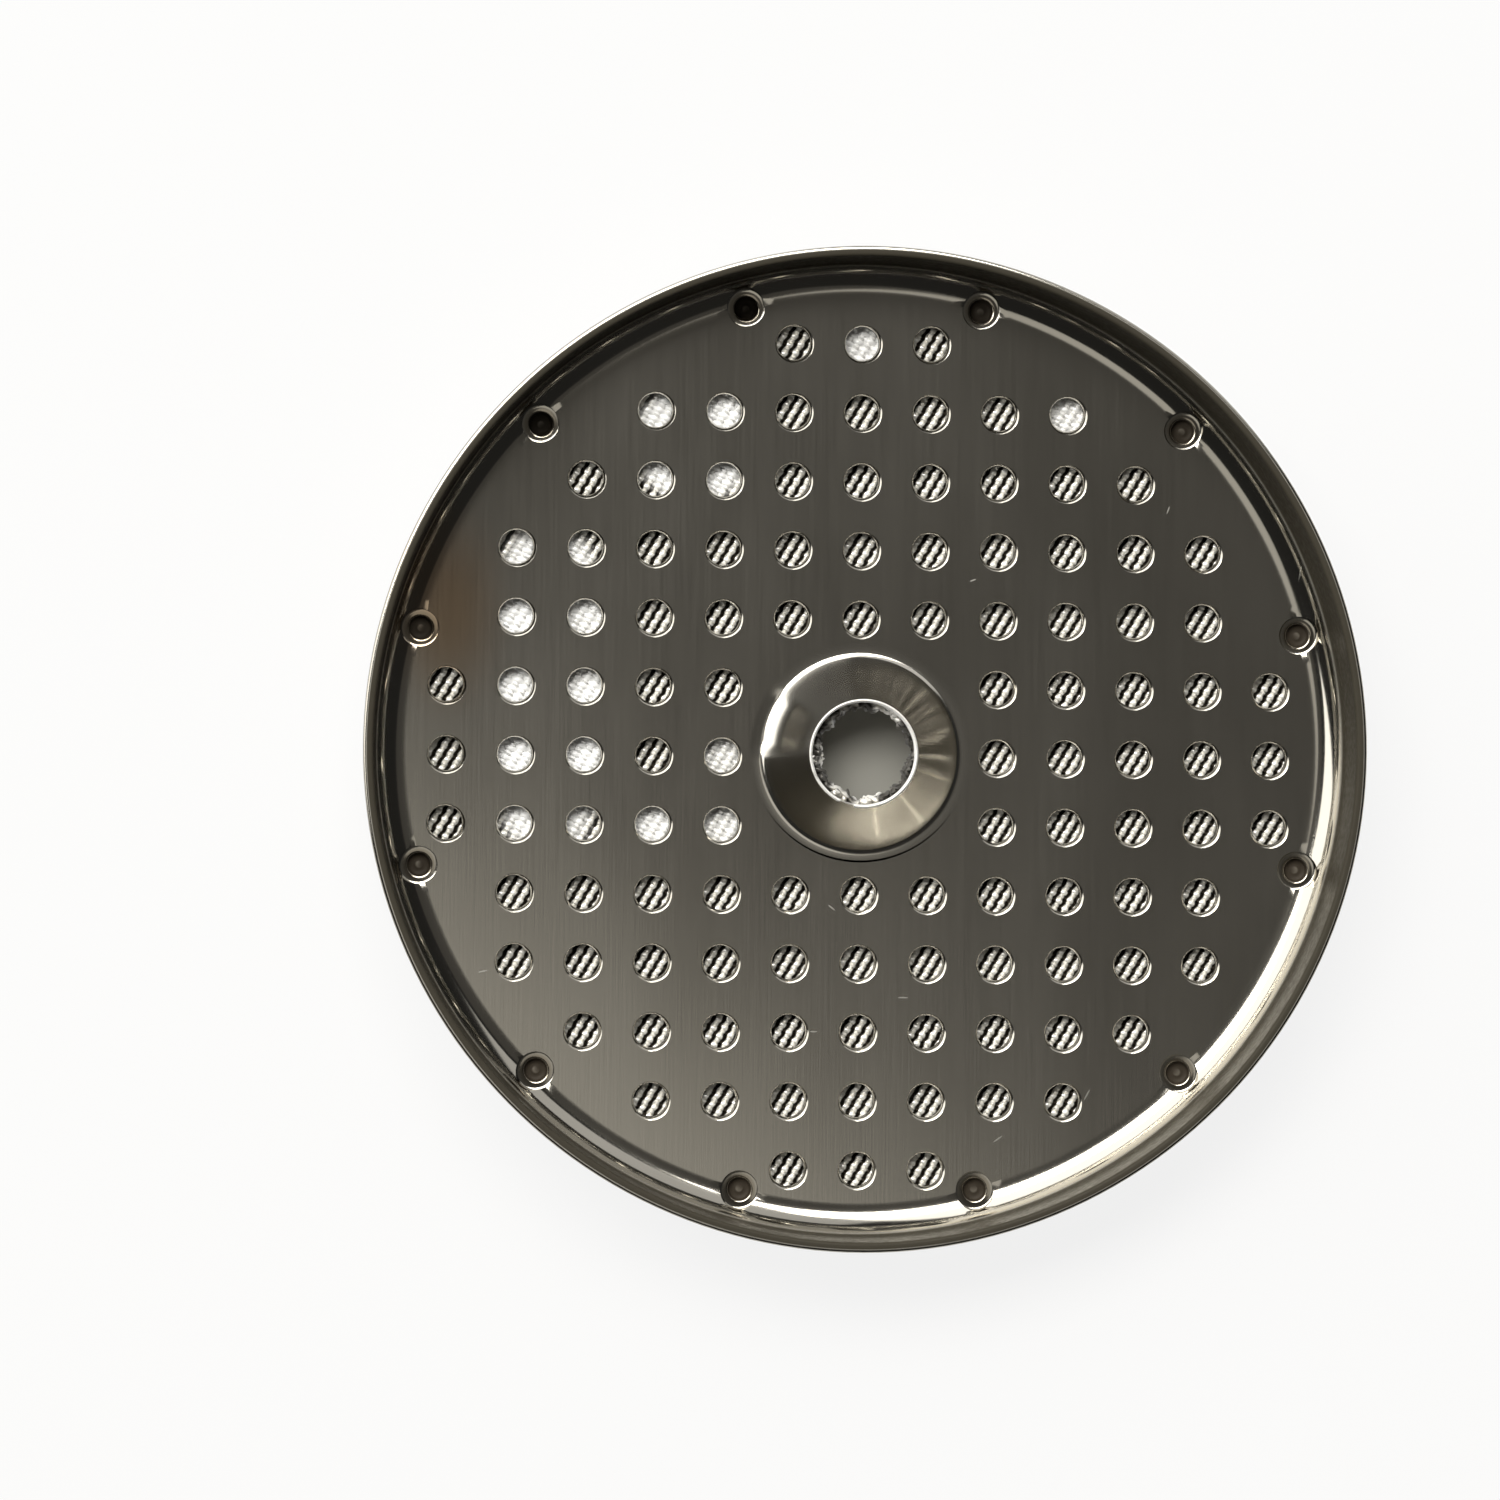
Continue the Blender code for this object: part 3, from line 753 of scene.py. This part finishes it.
def pan_steel():
    """Satin rolled sheet with an upright grain, polished where the press has drawn it."""
    n = Nodes("pressed steel sheet")
    x, y, height = n.parts(n.place)
    out, cone_out = n.from_axis(), n.from_axis(CONE_OFFSET)
    cone = n.ramp(cone_out, *POLISHED_CONE)
    drawn = n.math("MAXIMUM", n.ramp(out, *POLISHED_RIM), cone)
    level = n.math("SUBTRACT", 1.0, drawn)
    grain = n.noise(n.mapped("POINT", scale=(1, 0.02, 1)), 9000, 2.0, 0.6)
    broad = n.noise(n.mapped("POINT", scale=(1, 0.35, 1)), 140, 3.0, 0.5)
    fine = n.noise(n.place, 2600, 4.0, 0.6)

    satin = n.math("ADD", 0.115, n.math("MULTIPLY", grain, 0.05))
    satin = n.math("ADD", satin, n.math("MULTIPLY", broad, 0.05))
    polished = n.math("ADD", 0.085, n.math("MULTIPLY", broad, 0.05))
    rough = n.mixed(drawn, satin, polished)
    rough = n.mixed(cone, rough, n.math("ADD", polished, 0.06))
    colour = n.blend(broad, DARK_SHEET, LIGHT_SHEET)
    colour = n.blend(cone, colour, CONE_SHEET)

    # A painted warm reflection on the left of the floor
    colour = n.blend(n.ramp(n.ellipse(*WARM_REFLECTION_PATCH), 1.0, 0.1), colour, PAINTED_WARM_REFLECTION)
    for right, up, half_length, degrees in SCRATCHES:
        inside = n.ellipse(right, up, half_length, SCRATCH_HALF_WIDTH, degrees)
        scratch = n.ramp(inside, 1.0, 0.4, 0.0, 0.5)
        colour = n.blend(scratch, colour, BARE_SCRATCH)
        rough = n.mixed(scratch, rough, 0.5)

    # A painted dark reflection on the rim's wall, which is rougher there too
    painted_dark_wall = n.product(
        n.ramp(out, *PAINTED_WALL_INNER), n.ramp(out, *PAINTED_WALL_OUTER), n.ramp(height, *PAINTED_WALL_HEIGHT)
    )
    colour = n.blend(painted_dark_wall, colour, RIM_WALL_PAINTED_DARK)
    rough = n.mixed(painted_dark_wall, rough, n.ramp(fine, 0.3, 0.7, 0.45, 0.6))

    # Painted shade on the punched hole walls
    hole_wall_shade = n.product(n.ramp(height, *SHEARED_TOP), n.ramp(height, *SHEARED_FOOT), level)
    weld_out = from_weld(n, x, y, out)
    heated = n.product(
        n.ramp(weld_out, *HEATED_EDGE, 0.0, 0.6), n.ramp(height, *HEATED_FOOT),
        n.ramp(height, *HEATED_TOP),
    )
    # Painted shade in the weld pits, partly weld burn
    pit_shade_and_burn = n.product(
        n.ramp(weld_out, *PIT_DARK_EDGE), n.ramp(height, *PIT_DARK_TOP), n.ramp(height, *PIT_DARK_FOOT),
        n.ramp(weld_out, *PIT_DARK_MIDDLE, 0.7, 1.0),
    )
    shade_and_burn = n.math("MAXIMUM", hole_wall_shade, pit_shade_and_burn)
    colour = n.blend(heated, colour, HEAT_TINT)
    colour = n.blend(shade_and_burn, colour, SHADE_AND_BURNT_DIRT)
    rough = n.mixed(shade_and_burn, rough, 0.5)

    # A painted highlight round the bore's lip, partly the fresh cut edge, broken by nicks
    nicks = n.ramp(n.noise(n.mapped("POINT", scale=(1, 1, 0.2)), 520, 1.0, 0.4), 0.34, 0.4)
    cut = n.product(n.ramp(cone_out, *LIP_EDGE), n.ramp(height, *LIP_FOOT), nicks)
    colour = n.blend(cut, colour, CUT_EDGE_AND_HIGHLIGHT)
    rough = n.mixed(cut, rough, 0.42)

    # The painted dark reflection, painted shade and weld burn shine less
    painted_dark_and_burnt = n.math("MAXIMUM", painted_dark_wall, shade_and_burn)
    matt = n.math("MAXIMUM", n.math("MULTIPLY", cut, 0.8), n.math("MULTIPLY", painted_dark_and_burnt, 0.9))
    return n.finished({
        "Base Color": colour,
        "Roughness": rough,
        "Metallic": n.math("SUBTRACT", 1.0, matt),
        "Specular IOR Level": n.mixed(painted_dark_and_burnt, CLEAN_SPECULAR, LOW_SPECULAR),
        "Normal": n.bump(n.math("MULTIPLY", grain, level), 0.07, 0.02 * MM),
    })


def wire_steel():
    """Bright wire crowns; painted shade, partly coffee residue, in the furrows and low in the
    weave; a patchy dark torn collar; painted glare.
    """
    n = Nodes("drawn steel wire")
    spots = n.noise(n.place, 1800, 3.0, 0.55)
    crown = n.add("ShaderNodeAttribute", attribute_name="height_in_weave").outputs["Fac"]
    along, across, height = n.parts(n.mapped("POINT", rotation=(0, 0, -WARP_ANGLE)))
    # Painted shade in the furrows between rows of crowns, partly coffee residue
    sway = n.math(
        "ADD", n.math("MULTIPLY", along, math.pi / WEFT_STEP), n.math("MULTIPLY", across, SWAY_LEAN)
    )
    across = n.math("ADD", across, n.math("MULTIPLY", n.math("SINE", sway), FURROW_SWAY))
    from_row = n.math("ABSOLUTE", n.math("WRAP", across, WARP_SPACING / 2, -WARP_SPACING / 2))
    collar = n.ramp(n.from_axis(CONE_OFFSET), *COLLAR)
    patchy = n.ramp(n.noise(n.place, 480, 2.0, 0.5), 0.46, 0.56, 0.1, 1.0)
    lit_clean_share = n.mixed(collar, n.ramp(from_row, *FURROW_SHADE), patchy)
    # Painted shade low in the weave, between the crowns
    lit_clean_share = n.product(n.ramp(crown, *CROWN), lit_clean_share)

    # Painted glare: patches of wires painted white and nearly non-metal, on the upper side
    white = 0.0
    for right, up, half_width, half_height, share in PAINTED_GLARE_PATCHES:
        inside = n.ellipse(right, up, half_width, half_height)
        white = n.math("MAXIMUM", white, n.ramp(inside, 1.0, 0.75, 0.0, share))
    uneven = n.ramp(n.noise(n.place, 160, 1.0, 0.5), 0.3, 0.5, 0.75, 1.0)
    white = n.product(white, uneven, n.ramp(height, *UPPER_SIDE))

    metal = n.blend(spots, DARK_WIRE, LIGHT_WIRE)
    lit_bare_share = n.math("MAXIMUM", lit_clean_share, n.math("MULTIPLY", white, 0.6))
    metal = n.blend(lit_bare_share, COFFEE_AND_SHADE, metal)
    return n.finished({
        "Base Color": n.blend(white, metal, WHITE_GLARE),
        "Roughness": n.ramp(spots, 0.3, 0.7, 0.30, 0.40),
        "Metallic": n.mixed(white, 0.5, 0.05),
        "Specular IOR Level": n.mixed(lit_clean_share, LOW_SPECULAR, CLEAN_SPECULAR),
        "Normal": n.bump(spots, 0.1, 0.01 * MM),
    })


def coated(piece, material, node):
    piece.data.materials.clear()
    piece.data.materials.append(material)
    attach(piece, "root")
    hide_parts(node)


def studio_floor():
    """A floor that is white to the camera and in the steel, but lights the part only a little.

    Near the part's middle it is painted grey, a painted shadow, as it shows through the bore, and
    from below it is clear.
    """
    put_down_everything()
    bpy.ops.mesh.primitive_plane_add(size=STAGE_SIZE)
    floor = bpy.context.object
    floor.name = "studio_floor"
    n = Nodes("white floor")
    n.tree.nodes.remove(n.shader)
    ray = n.add("ShaderNodeLightPath").outputs
    seen = n.math("MAXIMUM", ray["Is Camera Ray"], ray["Is Glossy Ray"])
    seen = n.math("MAXIMUM", seen, ray["Is Transmission Ray"])
    # Painted shadow: under the part the floor is darker and glows less
    open_floor = n.ramp(n.length(n.place), *CLEAR_OF_PART)
    in_mirror = n.math("MAXIMUM", open_floor, ray["Is Glossy Ray"])
    glowing = n.product(seen, STAGE_GLOW, in_mirror)
    matt = n.add(
        "ShaderNodeBsdfDiffuse", {"Color": n.blend(open_floor, SHADED_FLOOR, OPEN_FLOOR)}
    )
    glow = n.add("ShaderNodeEmission", {"Strength": 1.0})
    lit = n.add("ShaderNodeMixShader", {0: glowing, 1: matt.outputs[0], 2: glow.outputs[0]})
    below = n.add("ShaderNodeNewGeometry").outputs["Backfacing"]
    clear = n.add("ShaderNodeBsdfTransparent")
    both = n.add("ShaderNodeMixShader", {0: below, 1: lit.outputs[0], 2: clear.outputs[0]})
    n.feed(n.tree.nodes["Material Output"].inputs["Surface"], both.outputs[0])
    floor.data.materials.append(n.material)


def soft_lamp(name, azimuth, elevation, distance, width, height, power, colour):
    """A rectangular lamp that faces the part, hidden from the camera."""
    turn, lift = math.radians(azimuth), math.radians(elevation)
    away = Vector((
        math.cos(turn) * math.cos(lift), math.sin(turn) * math.cos(lift), math.sin(lift),
    ))
    put_down_everything()
    bpy.ops.object.light_add(
        type="AREA", location=away * distance, rotation=away.to_track_quat("Z", "Y").to_euler()
    )
    lamp = bpy.context.object
    lamp.name = name
    lamp.data.shape = "RECTANGLE"
    lamp.data.size = width
    lamp.data.size_y = height
    lamp.data.energy = power
    lamp.data.color = colour
    lamp.visible_camera = False


def studio_light():
    world = bpy.data.worlds.new("dim studio")
    bpy.context.scene.world = world
    world.use_nodes = True
    world.node_tree.nodes["Background"].inputs["Color"].default_value = (*SKY, 1.0)
    for lamp in LAMPS:
        soft_lamp(*lamp)


def photo_camera():
    """The photo's view from above, with +Y up in the picture."""
    back = (CAMERA_PLACE - CAMERA_TARGET).normalized()
    right = Vector((0.0, 1.0, 0.0)).cross(back).normalized()
    aim = Matrix((right, back.cross(right), back)).transposed()
    put_down_everything()
    bpy.ops.object.camera_add(location=CAMERA_PLACE, rotation=aim.to_euler())
    camera = bpy.context.object
    camera.rotation_euler.rotate_axis("Z", CAMERA_ROLL)
    camera.data.lens = CAMERA_LENS
    camera.data.sensor_width = CAMERA_SENSOR
    camera.data.clip_start, camera.data.clip_end = CAMERA_RANGE
    bpy.context.scene.camera = camera


photo_camera()
sheet_steel, drawn_wire = pan_steel(), wire_steel()
coated(pressed_pan(), sheet_steel, "perforated_pan")
for wires in woven_mesh():
    coated(wires, drawn_wire, "woven_mesh")
studio_floor()
studio_light()
bpy.context.scene.view_settings.view_transform = "Standard"
put_down_everything()
